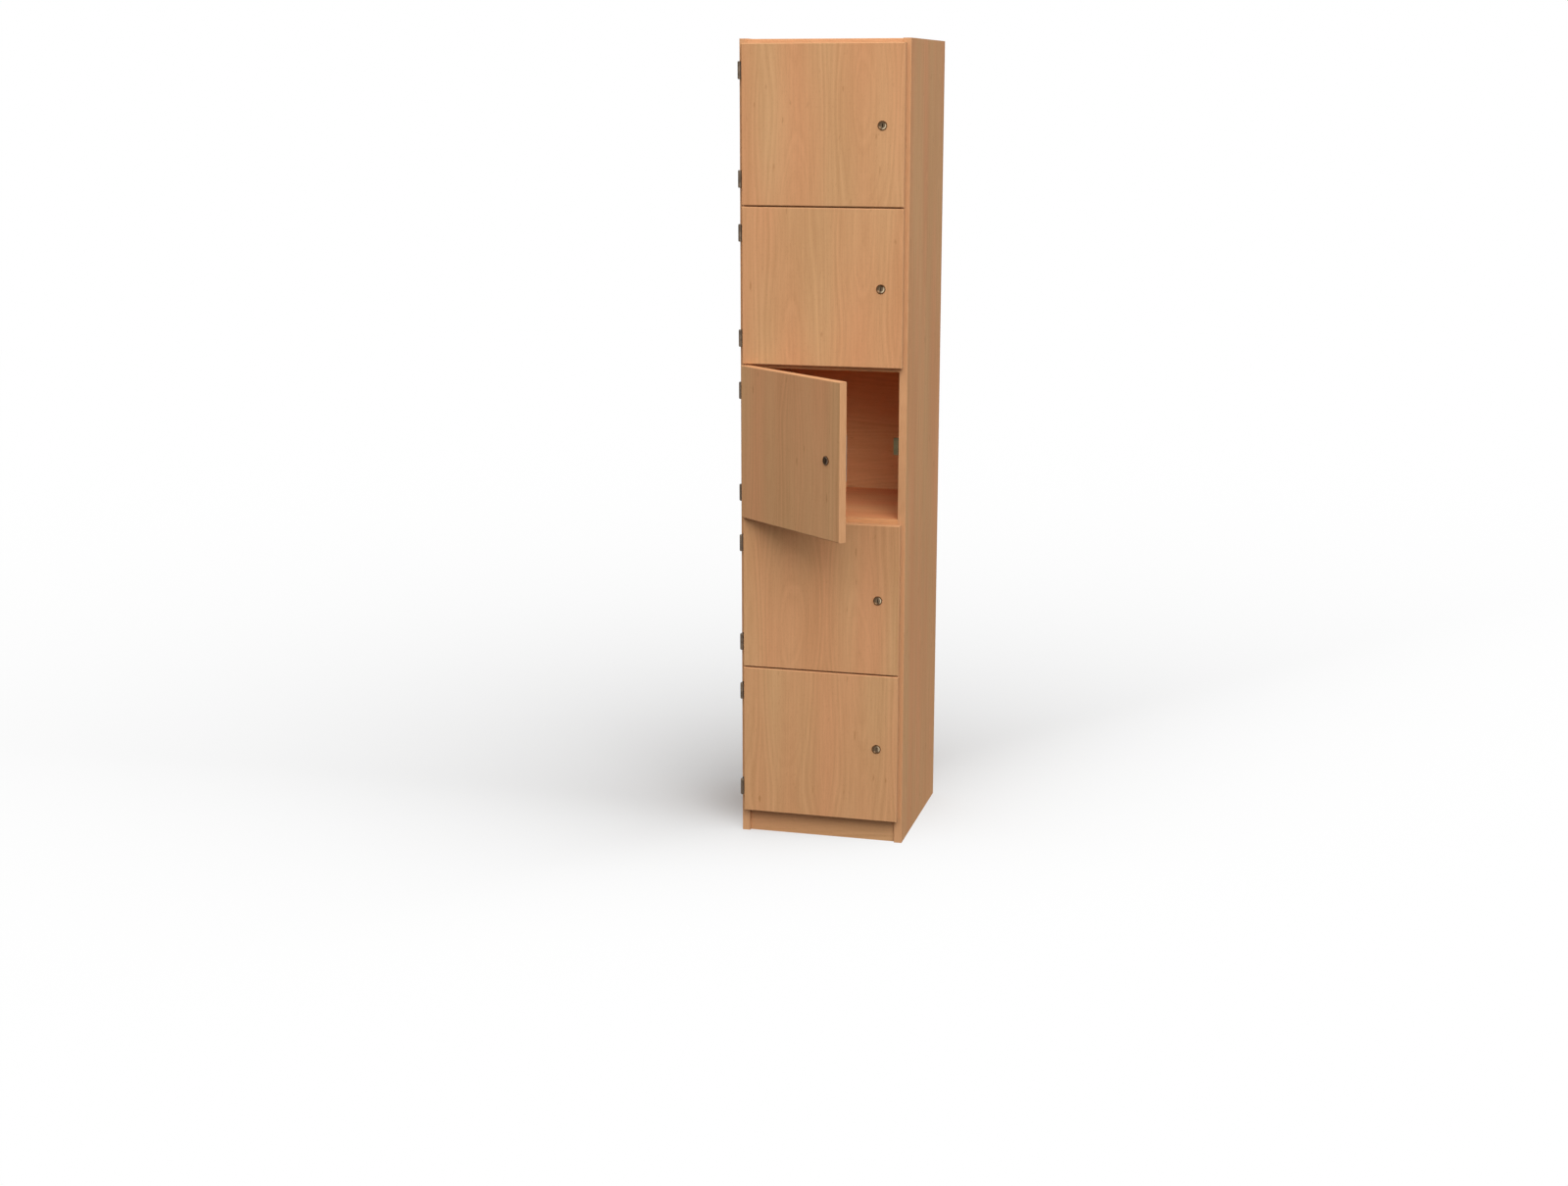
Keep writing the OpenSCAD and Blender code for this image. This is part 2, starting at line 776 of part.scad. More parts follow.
left_side();
right_side();
top_panel();
base_panel();
back_panel();
plinth();
for (k = [1 : door_count - 1]) shelf(k);
dowels();
hinge_frame_leaves();
hinge_pins();
keepers();
carcass_screws();
for (k = [1 : door_count]) {
    door_panel(k);
    hinge_door_leaves(k);
    lock_case(k);
    lock_cover(k);
    lock_barrel(k);
    lock_plug(k);
    lock_bolt(k);
    coin_lever(k);
    door_fasteners(k);
}
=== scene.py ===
import json
import math

import bmesh
import bpy
from mathutils import Matrix, Vector


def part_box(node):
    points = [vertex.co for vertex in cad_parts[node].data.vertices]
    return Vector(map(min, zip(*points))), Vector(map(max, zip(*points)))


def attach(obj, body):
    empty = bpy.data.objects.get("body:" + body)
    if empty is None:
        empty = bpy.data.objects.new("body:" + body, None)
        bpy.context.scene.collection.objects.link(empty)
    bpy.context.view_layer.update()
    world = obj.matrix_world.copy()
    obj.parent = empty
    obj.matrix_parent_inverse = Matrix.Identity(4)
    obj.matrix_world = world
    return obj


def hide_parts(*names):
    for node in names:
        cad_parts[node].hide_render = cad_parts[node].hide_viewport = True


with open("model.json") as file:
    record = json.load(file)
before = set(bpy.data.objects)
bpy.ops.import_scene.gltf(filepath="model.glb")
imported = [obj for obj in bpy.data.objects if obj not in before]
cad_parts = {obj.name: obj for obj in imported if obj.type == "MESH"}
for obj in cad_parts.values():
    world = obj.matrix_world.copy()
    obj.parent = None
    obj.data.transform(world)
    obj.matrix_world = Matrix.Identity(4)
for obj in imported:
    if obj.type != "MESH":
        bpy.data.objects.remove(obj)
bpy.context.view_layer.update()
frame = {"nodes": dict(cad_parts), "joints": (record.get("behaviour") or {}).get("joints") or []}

# Camera, at the photograph's height and angle

CAMERA_PLACE = (1.1476, -5.0525, 1.6947)
CAMERA_PITCH = math.radians(76.960)
CAMERA_YAW = math.radians(14.834)
LENS = 50
SENSOR = 36

camera = bpy.data.objects.new("camera", bpy.data.cameras.new("camera"))
camera.location = CAMERA_PLACE
camera.rotation_euler = (CAMERA_PITCH, 0, CAMERA_YAW)
camera.data.lens = LENS
camera.data.sensor_width = SENSOR
bpy.context.scene.collection.objects.link(camera)
bpy.context.scene.camera = camera
bpy.context.scene.view_settings.view_transform = "Standard"

# Places that the frame gives

MM = 0.001
DOORS = range(1, 6)
AJAR_DOOR = 3
SHELVES = range(1, 5)
AS_DRAWN = Matrix.Identity(4)
nodes = frame["nodes"]
joints = {joint["name"]: joint for joint in frame["joints"]}
side_low, side_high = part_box("right_side")


def door_stand(k):
    """Takes a point of door k, drawn closed, to where the door stands."""
    swing = joints[f"door_{k}_swing"]
    pivot = Matrix.Translation(Vector(swing["pos_m"]))
    ajar = -math.radians(swing["range_deg"][0])
    return pivot @ Matrix.Rotation(ajar, 4, Vector(swing["axis"])) @ pivot.inverted()


def corners_of(points):
    """Lowest and highest corner of the box round some points."""
    low = Vector([min(point[axis] for point in points) for axis in range(3)])
    high = Vector([max(point[axis] for point in points) for axis in range(3)])
    return low, high


def closed_box(node, stand):
    """Lowest and highest corner of a door's node as it lies when the door is closed."""
    undo = stand.inverted()
    return corners_of([undo @ vertex.co for vertex in nodes[node].data.vertices])


# Shader nodes

# Most values of a noise texture lie between these two
NOISE_LOW = 0.3
NOISE_HIGH = 0.7


def linear(hex_colour):
    """The linear colour of an sRGB hex value."""
    shares = [int(hex_colour[i:i + 2], 16) / 255 for i in (0, 2, 4)]
    return [s / 12.92 if s <= 0.04045 else ((s + 0.055) / 1.055) ** 2.4 for s in shares] + [1.0]


def add(tree, kind, inputs=None, **settings):
    """Adds a node. An input takes a value, an output, or a node, for its first output in use."""
    made = tree.nodes.new("ShaderNode" + kind)
    for name, value in settings.items():
        setattr(made, name, value)
    for socket, value in (inputs or {}).items():
        if isinstance(value, bpy.types.Node):
            value = next(output for output in value.outputs if output.enabled)
        if isinstance(value, bpy.types.NodeSocket):
            tree.links.new(value, made.inputs[socket])
        else:
            made.inputs[socket].default_value = value
    return made


def new_finish(name):
    """An empty material, its node tree and its Object coordinates."""
    material = bpy.data.materials.new(name)
    material.use_nodes = True
    tree = material.node_tree
    tree.nodes.clear()
    return material, tree, add(tree, "TexCoord").outputs["Object"]


# Wood

FACE_TONES = {"yellow": "DAA97A", "rose": "DEA275", "dark": "B58153", "band": "E4AE80"}
# The top and the plinth use the board's own tones, but their edge band is painted lighter, as painted
# light from above on the top's front edge
LEVEL_TONES_PAINTED_LIGHT = {"yellow": "DAA97A", "rose": "DEA275", "dark": "B58153", "band": "E9B285"}
# The back panel, the shelves and the base: lighter copies of the board's tones, with a lighter front band
# on the shelves, as painted light inside the cabinet
BACK_TONES_PAINTED_LIGHT = {"yellow": "F0BB86", "rose": "F2B481", "dark": "C98F5F", "band": "E4AE80"}
SHELF_TONES_PAINTED_LIGHT = {"yellow": "F2B07B", "rose": "F4A976", "dark": "CB8656", "band": "F0B17A"}
BAND_STREAK = "CE976A"
BAND_THICKNESS = 1.0 * MM
GRAIN_UP = Matrix.Identity(4)
GRAIN_LEVEL = Matrix.Rotation(math.radians(90), 4, "Y")

# Where on the printed sheet a board is cut, so that boards differ
SHEET_START = (0.0, 0.0, 0.0)
BACK_CUT = (0.07, 0.0, 0.3)
SHELF_CUT = (0.31, 0.0, 0.3)
DOOR_CUT_STEP = 0.7

# Streaks along the grain: their width, length and noise detail. Pores and fibres of such a print are too
# fine to show in a picture of the whole locker, so they are drawn as wide as they need to be to show.
WANDER_STREAKS = (60 * MM, 900 * MM, 1.0)
CUT_STREAKS = (160 * MM, 380 * MM, 0.0)
TONE_STREAKS = (70 * MM, 600 * MM, 0.0)
LINE_STREAKS = (4.5 * MM, 120 * MM, 1.0)
FIBRE_STREAKS = (1.8 * MM, 35 * MM, 2.0)
BROAD_STREAKS = (20 * MM, 500 * MM, 1.0)
BOARD_STREAKS = (120 * MM, 420 * MM, 0.0)
FLECK_STREAKS = (9 * MM, 34 * MM, 0.0)
PORE_STREAKS = (0.9 * MM, 8 * MM, 1.0)

# Growth rings: how far they wander sideways, how far the figure reaches to each side of its heart, how far
# from the heart the board is cut, and about the distance from ring to ring
RING_WANDER = 24 * MM
FIGURE_REACH = 75 * MM
CUT_SPREAD = 75 * MM
CUT_NEAREST = 2 * MM
RING_PITCH = 5 * MM

# The share of each pattern in the figure, the sums at which the figure is darkest and palest, and how much
# of the dark tone the figure, pores and flecks bring
RING_SHARE = 0.85
LINE_SHARE = 0.65
FIBRE_SHARE = 0.55
BROAD_SHARE = 0.55
BOARD_SHARE = 0.6
FIGURE_DARKEST = 1.12
FIGURE_PALEST = 2.08
FIGURE_DEPTH = 0.42
PORE_DEPTH = 0.26
FLECK_DEPTH = 0.4

# The noise values between which the yellow tone turns to rose, and pores and flecks begin and are full
TONE_NOISE = (0.25, 0.75)
PORE_NOISE = (0.62, 0.76)
FLECK_NOISE = (0.84, 0.93)

BOARD_ROUGHNESS = (0.58, 0.68)
BOARD_SPECULAR = 0.03
BOARD_BUMP = 0.12
BOARD_BUMP_DEPTH = 0.1 * MM


def beech_board(name, bands, stand=AS_DRAWN, grain=GRAIN_UP, cut=SHEET_START, tones=FACE_TONES):
    """Beech-effect melamine board, printed paper pressed under resin: a satin face with fine straight
    grain, slender cathedral figure and short pores, and on its edges a plainer, warmer plastic band.
    A band is an axis, the middle of the board on that axis, and how far from the middle it starts."""
    material, tree, whole = new_finish(name)
    undo = stand.inverted()
    board = add(tree, "Mapping", {
        "Vector": whole, "Location": undo.to_translation(), "Rotation": undo.to_euler()})
    way = add(tree, "Mapping", {"Vector": board, "Location": cut, "Rotation": grain.to_euler()})
    axes = add(tree, "SeparateXYZ", {0: way}).outputs
    across = add(tree, "Math", {0: axes[0], 1: axes[1]}, operation="ADD")
    plane = add(tree, "CombineXYZ", {0: across, 1: axes[2]})

    def streaks(width, length, detail):
        """Noise drawn out along the grain, of streaks about so wide and long."""
        spread = add(tree, "VectorMath", {
            0: plane, 1: (1 / width, 1 / length, 0.0)}, operation="MULTIPLY")
        return add(tree, "TexNoise", {
            "Vector": spread, "Scale": 1.0, "Detail": detail}, noise_dimensions="2D")

    # Growth rings, cut by a board that leans to the log's axis: slender arches over straight grain
    wander = add(tree, "Math", {
        0: streaks(*WANDER_STREAKS), 1: RING_WANDER, 2: across}, operation="MULTIPLY_ADD")
    aside = add(tree, "Math", {0: wander, 1: FIGURE_REACH}, operation="PINGPONG")
    lean = add(tree, "Math", {
        0: streaks(*CUT_STREAKS), 1: CUT_SPREAD, 2: CUT_NEAREST}, operation="MULTIPLY_ADD")
    reach = add(tree, "VectorMath", {
        0: add(tree, "CombineXYZ", {0: aside, 1: lean})}, operation="LENGTH").outputs["Value"]
    rings = add(tree, "TexNoise", {
        "W": add(tree, "Math", {0: reach, 1: RING_PITCH}, operation="DIVIDE"),
        "Scale": 1.0, "Detail": 1.0}, noise_dimensions="1D")
    lines = streaks(*LINE_STREAKS)
    fibre = streaks(*FIBRE_STREAKS)
    pores = add(tree, "MapRange", {0: streaks(*PORE_STREAKS), 1: PORE_NOISE[0], 2: PORE_NOISE[1]})
    flecks = add(tree, "MapRange", {0: streaks(*FLECK_STREAKS), 1: FLECK_NOISE[0], 2: FLECK_NOISE[1]})

    figure = 0.0
    for pattern, share in (
            (rings, RING_SHARE), (lines, LINE_SHARE), (fibre, FIBRE_SHARE),
            (streaks(*BROAD_STREAKS), BROAD_SHARE), (streaks(*BOARD_STREAKS), BOARD_SHARE)):
        figure = add(tree, "Math", {0: pattern, 1: share, 2: figure}, operation="MULTIPLY_ADD")
    depth = add(tree, "MapRange", {
        0: figure, 1: FIGURE_DARKEST, 2: FIGURE_PALEST, 3: FIGURE_DEPTH, 4: 0.0})
    depth = add(tree, "Math", {0: pores, 1: PORE_DEPTH, 2: depth}, operation="MULTIPLY_ADD")
    depth = add(tree, "Math", {0: flecks, 1: FLECK_DEPTH, 2: depth}, operation="MULTIPLY_ADD")

    tone = add(tree, "MapRange", {0: streaks(*TONE_STREAKS), 1: TONE_NOISE[0], 2: TONE_NOISE[1]})
    face = add(tree, "Mix", {
        0: tone, 6: linear(tones["yellow"]), 7: linear(tones["rose"])}, data_type="RGBA")
    face = add(tree, "Mix", {0: depth, 6: face, 7: linear(tones["dark"])}, data_type="RGBA")
    band = add(tree, "Mix", {
        0: fibre, 6: linear(tones["band"]), 7: linear(BAND_STREAK)}, data_type="RGBA")
    spots = add(tree, "SeparateXYZ", {0: board}).outputs
    on_band = 0.0
    for axis, middle, start in bands:
        off = add(tree, "Math", {0: spots["XYZ".index(axis)], 1: middle}, operation="SUBTRACT")
        off = add(tree, "Math", {0: off}, operation="ABSOLUTE")
        edge = add(tree, "Math", {0: off, 1: start}, operation="GREATER_THAN")
        on_band = add(tree, "Math", {0: on_band, 1: edge}, operation="MAXIMUM")
    shader = add(tree, "BsdfPrincipled", {
        "Base Color": add(tree, "Mix", {0: on_band, 6: face, 7: band}, data_type="RGBA"),
        "Roughness": add(tree, "MapRange", {
            0: fibre, 1: NOISE_LOW, 2: NOISE_HIGH, 3: BOARD_ROUGHNESS[0], 4: BOARD_ROUGHNESS[1]}),
        "Specular IOR Level": BOARD_SPECULAR,
        "Normal": add(tree, "Bump", {
            "Height": add(tree, "Math", {0: fibre, 1: pores}, operation="SUBTRACT"),
            "Strength": BOARD_BUMP, "Distance": BOARD_BUMP_DEPTH}),
    })
    add(tree, "OutputMaterial", {0: shader})
    return material


DOWEL_DARK = "C79F70"
DOWEL_PALE = "E0C399"
DOWEL_FIBRE_LENGTH = 20 * MM
DOWEL_FIBRE_WIDTH = 1.2 * MM
DOWEL_ROUGHNESS = 0.7


def dowel_beech():
    """Turned beech dowel, bare and dry: pale and matt, with grain along its length."""
    material, tree, whole = new_finish("turned_beech")
    spread = add(tree, "Mapping", {
        "Vector": whole,
        "Scale": (1 / DOWEL_FIBRE_LENGTH, 1 / DOWEL_FIBRE_WIDTH, 1 / DOWEL_FIBRE_WIDTH)})
    grain = add(tree, "TexNoise", {"Vector": spread, "Scale": 1.0, "Detail": 2.0})
    shader = add(tree, "BsdfPrincipled", {
        "Base Color": add(tree, "Mix", {
            0: grain, 6: linear(DOWEL_DARK), 7: linear(DOWEL_PALE)}, data_type="RGBA"),
        "Roughness": DOWEL_ROUGHNESS})
    add(tree, "OutputMaterial", {0: shader})
    return material


# Metal

PLATING_CLOUD = 12 * MM
PLATING_WORN = (0.40, 0.70)
PLATING_GLOSS_CHANGE = 0.06
PLATING_BUMP = 0.15
PLATING_BUMP_DEPTH = 0.05 * MM


def plated_metal(name, tone, worn_tone, roughness, grit):
    """Plated or bronzed metal: tone and gloss wander a little from place to place, over a fine grit.
    The grit of real plating is too fine to show, so it is drawn coarser."""
    material, tree, whole = new_finish(name)
    clouds = add(tree, "TexNoise", {"Vector": whole, "Scale": 1 / PLATING_CLOUD, "Detail": 3.0})
    grains = add(tree, "TexNoise", {"Vector": whole, "Scale": 1 / grit, "Detail": 2.0})
    worn = add(tree, "MapRange", {0: clouds, 1: PLATING_WORN[0], 2: PLATING_WORN[1]})
    shader = add(tree, "BsdfPrincipled", {
        "Base Color": add(tree, "Mix", {0: worn, 6: linear(tone), 7: linear(worn_tone)}, data_type="RGBA"),
        "Metallic": 1.0,
        "Roughness": add(tree, "MapRange", {
            0: grains, 1: NOISE_LOW, 2: NOISE_HIGH,
            3: roughness - PLATING_GLOSS_CHANGE, 4: roughness + PLATING_GLOSS_CHANGE}),
        "Normal": add(tree, "Bump", {
            "Height": grains, "Strength": PLATING_BUMP, "Distance": PLATING_BUMP_DEPTH}),
    })
    add(tree, "OutputMaterial", {0: shader})
    return material


# Which way from its middle each lock head has its painted reflection, a painted highlight where the dish
# would mirror the light, and the tone of its dish, from door 1 down. The dish of door 3, which stands
# ajar, is painted darker, as painted shade.
REFLECTION_RIGHT = 0.9
REFLECTION_RISE = (-0.6, -0.45, 0.2, 0.15, 0.25)
REFLECTION_EDGES = (0.2, 0.95)
DISH_TONES_AND_SHADE = ("5C4936", "5C4936", "2E2012", "5C4936", "5C4936")
PAINTED_REFLECTION_TONE = "DCC9A8"
TURNED_TONE = "3E342B"
TURNED_SHARE = 0.3
RIM_TONE = "64472E"
RIM_EDGES = (7.9 * MM, 8.4 * MM)
# Rings left by turning are usually finer than this, and are drawn 0.4 mm apart so that they show
TURNED_PITCH = 0.4 * MM
DISH_ROUGHNESS = 0.28
RIM_ROUGHNESS = 0.15
TURNED_BUMP = 0.2
TURNED_BUMP_DEPTH = 0.05 * MM


def nickel_lock_head(k):
    """Nickel-plated lock head, turned: a browned rim round a dull dish with fine rings. The dish is
    painted brighter on one side, as a painted reflection of the light, and the dish of door 3 is painted
    darker, as painted shade."""
    material, tree, whole = new_finish(f"nickel_lock_head_{k}")
    axis_place = Vector(joints[f"lock_{k}_turn"]["pos_m"])
    undo = door_stand(k).to_3x3().inverted().to_4x4() @ Matrix.Translation(-axis_place)
    own = add(tree, "Mapping", {
        "Vector": whole, "Location": undo.to_translation(), "Rotation": undo.to_euler()})
    flat = add(tree, "VectorMath", {0: own, 1: (1.0, 0.0, 1.0)}, operation="MULTIPLY")
    radius = add(tree, "VectorMath", {0: flat}, operation="LENGTH").outputs["Value"]
    rim = add(tree, "MapRange", {0: radius, 1: RIM_EDGES[0], 2: RIM_EDGES[1]})
    turned = add(tree, "TexNoise", {
        "W": add(tree, "Math", {0: radius, 1: TURNED_PITCH}, operation="DIVIDE"),
        "Scale": 1.0, "Detail": 1.0}, noise_dimensions="1D")
    outward = add(tree, "VectorMath", {0: flat}, operation="NORMALIZE")
    toward = add(tree, "VectorMath", {
        0: outward, 1: (REFLECTION_RIGHT, 0.0, REFLECTION_RISE[k - 1])}, operation="DOT_PRODUCT").outputs["Value"]
    # Painted reflection: the dish is painted brighter on the side where it would mirror the light
    reflection_mask = add(tree, "MapRange", {
        0: toward, 1: REFLECTION_EDGES[0], 2: REFLECTION_EDGES[1]}, interpolation_type="SMOOTHSTEP")
    grooves = add(tree, "MapRange", {0: turned, 1: NOISE_LOW, 2: NOISE_HIGH, 3: 0.0, 4: TURNED_SHARE})
    dish = add(tree, "Mix", {
        0: reflection_mask, 6: linear(DISH_TONES_AND_SHADE[k - 1]), 7: linear(PAINTED_REFLECTION_TONE)}, data_type="RGBA")
    dish = add(tree, "Mix", {0: grooves, 6: dish, 7: linear(TURNED_TONE)}, data_type="RGBA")
    shader = add(tree, "BsdfPrincipled", {
        "Base Color": add(tree, "Mix", {0: rim, 6: dish, 7: linear(RIM_TONE)}, data_type="RGBA"),
        "Metallic": 1.0,
        "Roughness": add(tree, "MapRange", {0: rim, 3: DISH_ROUGHNESS, 4: RIM_ROUGHNESS}),
        "Normal": add(tree, "Bump", {
            "Height": turned, "Strength": TURNED_BUMP, "Distance": TURNED_BUMP_DEPTH}),
    })
    add(tree, "OutputMaterial", {0: shader})
    return material


ENAMEL_DARK = "6B6862"
ENAMEL_PALE = "807C75"
ENAMEL_CLOUD = 25 * MM
ENAMEL_PEEL = 0.9 * MM
ENAMEL_ROUGHNESS = (0.38, 0.50)
ENAMEL_BUMP = 0.2
ENAMEL_BUMP_DEPTH = 0.08 * MM


def baked_enamel():
    """Grey baked enamel over a die casting: a fine orange-peel skin with a low sheen."""
    material, tree, whole = new_finish("grey_baked_enamel")
    peel = add(tree, "TexNoise", {"Vector": whole, "Scale": 1 / ENAMEL_PEEL, "Detail": 2.0})
    clouds = add(tree, "TexNoise", {"Vector": whole, "Scale": 1 / ENAMEL_CLOUD, "Detail": 2.0})
    shader = add(tree, "BsdfPrincipled", {
        "Base Color": add(tree, "Mix", {
            0: clouds, 6: linear(ENAMEL_DARK), 7: linear(ENAMEL_PALE)}, data_type="RGBA"),
        "Roughness": add(tree, "MapRange", {
            0: peel, 1: NOISE_LOW, 2: NOISE_HIGH, 3: ENAMEL_ROUGHNESS[0], 4: ENAMEL_ROUGHNESS[1]}),
        "Normal": add(tree, "Bump", {
            "Height": peel, "Strength": ENAMEL_BUMP, "Distance": ENAMEL_BUMP_DEPTH}),
    })
    add(tree, "OutputMaterial", {0: shader})
    return material


# Finishes of the solids


def dress(node, material):
    """Gives a solid its finish."""
    for slot in nodes[node].material_slots:
        slot.material = material


front_band = [("Y", 0.0, -side_low.y - BAND_THICKNESS)]
side_bands = front_band + [("Z", side_high.z / 2, side_high.z / 2 - BAND_THICKNESS)]
side_beech = beech_board("beech_side", side_bands)
level_beech_painted_light = beech_board("beech_level_painted_light", front_band, grain=GRAIN_LEVEL, tones=LEVEL_TONES_PAINTED_LIGHT)
# Boards inside the cabinet take lighter tones, as painted light
back_beech_painted_light = beech_board("beech_back_painted_light", [], grain=GRAIN_LEVEL, cut=BACK_CUT, tones=BACK_TONES_PAINTED_LIGHT)
shelf_beech_painted_light = beech_board("beech_shelf_painted_light", front_band, grain=GRAIN_LEVEL, cut=SHELF_CUT, tones=SHELF_TONES_PAINTED_LIGHT)
for node in ("left_side", "right_side"):
    dress(node, side_beech)
for node in ("top_panel", "plinth"):
    dress(node, level_beech_painted_light)
dress("back_panel", back_beech_painted_light)
for node in ["base_panel"] + [f"shelf_{k}" for k in SHELVES]:
    dress(node, shelf_beech_painted_light)
dress("dowels", dowel_beech())

bronzed_steel = plated_metal("bronzed_steel", "5E5145", "7A6A5A", 0.45, 0.5 * MM)
# The keepers sit in the dim inside of the cabinet: their zinc is dull, and is painted darker still, as
# painted shade
zinc_steel_painted_shade = plated_metal("dull_zinc_plating_painted_shade", "5C533C", "6E644B", 0.55, 0.6 * MM)
bright_zinc = plated_metal("bright_zinc_plating", "A6A39C", "BDB9B0", 0.34, 0.6 * MM)
nickel = plated_metal("nickel_plating", "655340", "806D58", 0.32, 0.4 * MM)
# Nickel painted darker, as painted shade, for the lock plug of the door that stands ajar
nickel_painted_shade = plated_metal("nickel_plating_painted_shade", "38281A", "4A3826", 0.32, 0.4 * MM)
enamel = baked_enamel()
dress("hinge_frame_leaves", bronzed_steel)
dress("hinge_pins", bronzed_steel)
dress("keepers", zinc_steel_painted_shade)
for k in DOORS:
    stand = door_stand(k)
    low, high = closed_box(f"door_panel_{k}", stand)
    middle = (low + high) / 2
    half = (high - low) / 2
    door_bands = [("X", middle.x, half.x - BAND_THICKNESS), ("Z", middle.z, half.z - BAND_THICKNESS)]
    door_cut = (0.0, 0.0, DOOR_CUT_STEP * k)
    dress(f"door_panel_{k}", beech_board(f"beech_door_{k}", door_bands, stand, cut=door_cut))
    dress(f"hinge_door_leaves_{k}", bronzed_steel)
    dress(f"lock_case_{k}", enamel)
    dress(f"lock_cover_{k}", enamel)
    dress(f"lock_barrel_{k}", nickel_lock_head(k))
    # The plug of the ajar door takes the nickel that is painted darker as painted shade
    dress(f"lock_plug_{k}", nickel_painted_shade if k == AJAR_DOOR else nickel)
    dress(f"lock_bolt_{k}", bright_zinc)
    dress(f"coin_lever_{k}", bright_zinc)

# Screws with a cross recess, and the nuts of the locks

AROUND = 24
SCREW_HEAD = 3.5 * MM
SCREW_LIP = 0.6 * MM
# Radius and height of the rings below the head: neck, end of the shank, and tip
SCREW_RINGS = ((1.75 * MM, -1.75 * MM), (1.75 * MM, -10.5 * MM), (0.02 * MM, -14 * MM))
SCREW_TIP_MERGE = 0.05 * MM
RECESS_REACH = 2.0 * MM
RECESS_HALF = 0.42 * MM
RECESS_DEPTH = 1.3 * MM
RECESS_TAPER = 0.4
# Each screw's recess is turned this much further than that of the screw before it
RECESS_TURN = math.radians(40)
NUT_ACROSS_FLATS = 21 * MM
NUT_BORE = 16.04 * MM
NUT_SIDE = math.radians(60)
NUT_THICKEST = 5 * MM
SAME_POINT = 0.01 * MM


def solids(node, stand):
    """The points of each separate solid of a node, as they lie with the door closed."""
    shape = bmesh.new()
    shape.from_mesh(nodes[node].data)
    bmesh.ops.remove_doubles(shape, verts=shape.verts, dist=SAME_POINT)
    bmesh.ops.transform(shape, matrix=stand.inverted(), verts=shape.verts)
    waiting = set(shape.verts)
    while waiting:
        found = [waiting.pop()]
        for vertex in found:
            joined = {edge.other_vert(vertex) for edge in vertex.link_edges} & waiting
            waiting -= joined
            found.extend(joined)
        yield [vertex.co.copy() for vertex in found]
    shape.free()


def height_and_place(points):
    """What solids are sorted by: height, then place from left to right and from front to back."""
    low = corners_of(points)[0]
    return round(low.z / MM), round(low.x / MM), round(low.y / MM)


def screw_shape():
    """A countersunk screw along Z, the top of its head at the origin."""
    shape = bmesh.new()
    bmesh.ops.create_circle(shape, cap_ends=True, segments=AROUND, radius=SCREW_HEAD)
    top = shape.faces[:]
    bmesh.ops.inset_region(shape, faces=top, thickness=SCREW_LIP, use_boundary=True)
    edges = [edge for edge in shape.edges if edge.is_boundary]
    for corner in top[0].verts:
        across, along = sorted((abs(corner.co.x), abs(corner.co.y)))
        if across * RECESS_REACH < along * RECESS_HALF:
            reach = RECESS_REACH
        else:
            reach = RECESS_HALF / across * along
        corner.co *= reach / along
    bottom = bmesh.ops.extrude_face_region(shape, geom=top)["geom"]
    corners = [part for part in bottom if isinstance(part, bmesh.types.BMVert)]
    bmesh.ops.scale(shape, vec=(RECESS_TAPER, RECESS_TAPER, 1.0), verts=corners)
    bmesh.ops.translate(shape, vec=(0.0, 0.0, -RECESS_DEPTH), verts=corners)
    bmesh.ops.delete(shape, geom=top, context="FACES_ONLY")
    radius = SCREW_HEAD
    for ring_radius, height in SCREW_RINGS:
        ring = bmesh.ops.extrude_edge_only(shape, edges=edges)["geom"]
        edges = [part for part in ring if isinstance(part, bmesh.types.BMEdge)]
        corners = [part for part in ring if isinstance(part, bmesh.types.BMVert)]
        bmesh.ops.scale(shape, vec=(ring_radius / radius, ring_radius / radius, 0.0), verts=corners)
        bmesh.ops.translate(shape, vec=(0.0, 0.0, height), verts=corners)
        radius = ring_radius
    bmesh.ops.remove_doubles(shape, verts=shape.verts, dist=SCREW_TIP_MERGE)
    bmesh.ops.recalc_face_normals(shape, faces=shape.faces)
    made = bpy.data.meshes.new("screw")
    shape.to_mesh(made)
    shape.free()
    return made


def nut_shape(thickness):
    """A flat six-sided nut along Z, from the origin up, with corners on the Y axis."""
    shape = bmesh.new()
    outer = bmesh.ops.create_circle(shape, segments=AROUND, radius=NUT_ACROSS_FLATS / 2)["verts"]
    for corner in outer:
        turn = math.atan2(corner.co.y, corner.co.x) % NUT_SIDE
        corner.co /= math.cos(min(turn, NUT_SIDE - turn))
    bmesh.ops.create_circle(shape, segments=AROUND, radius=NUT_BORE / 2)
    faces = bmesh.ops.bridge_loops(shape, edges=shape.edges[:])["faces"]
    raised = bmesh.ops.extrude_face_region(shape, geom=faces)["geom"]
    corners = [part for part in raised if isinstance(part, bmesh.types.BMVert)]
    bmesh.ops.translate(shape, vec=(0.0, 0.0, thickness), verts=corners)
    bmesh.ops.recalc_face_normals(shape, faces=shape.faces)
    made = bpy.data.meshes.new("nut")
    shape.to_mesh(made)
    shape.free()
    return made


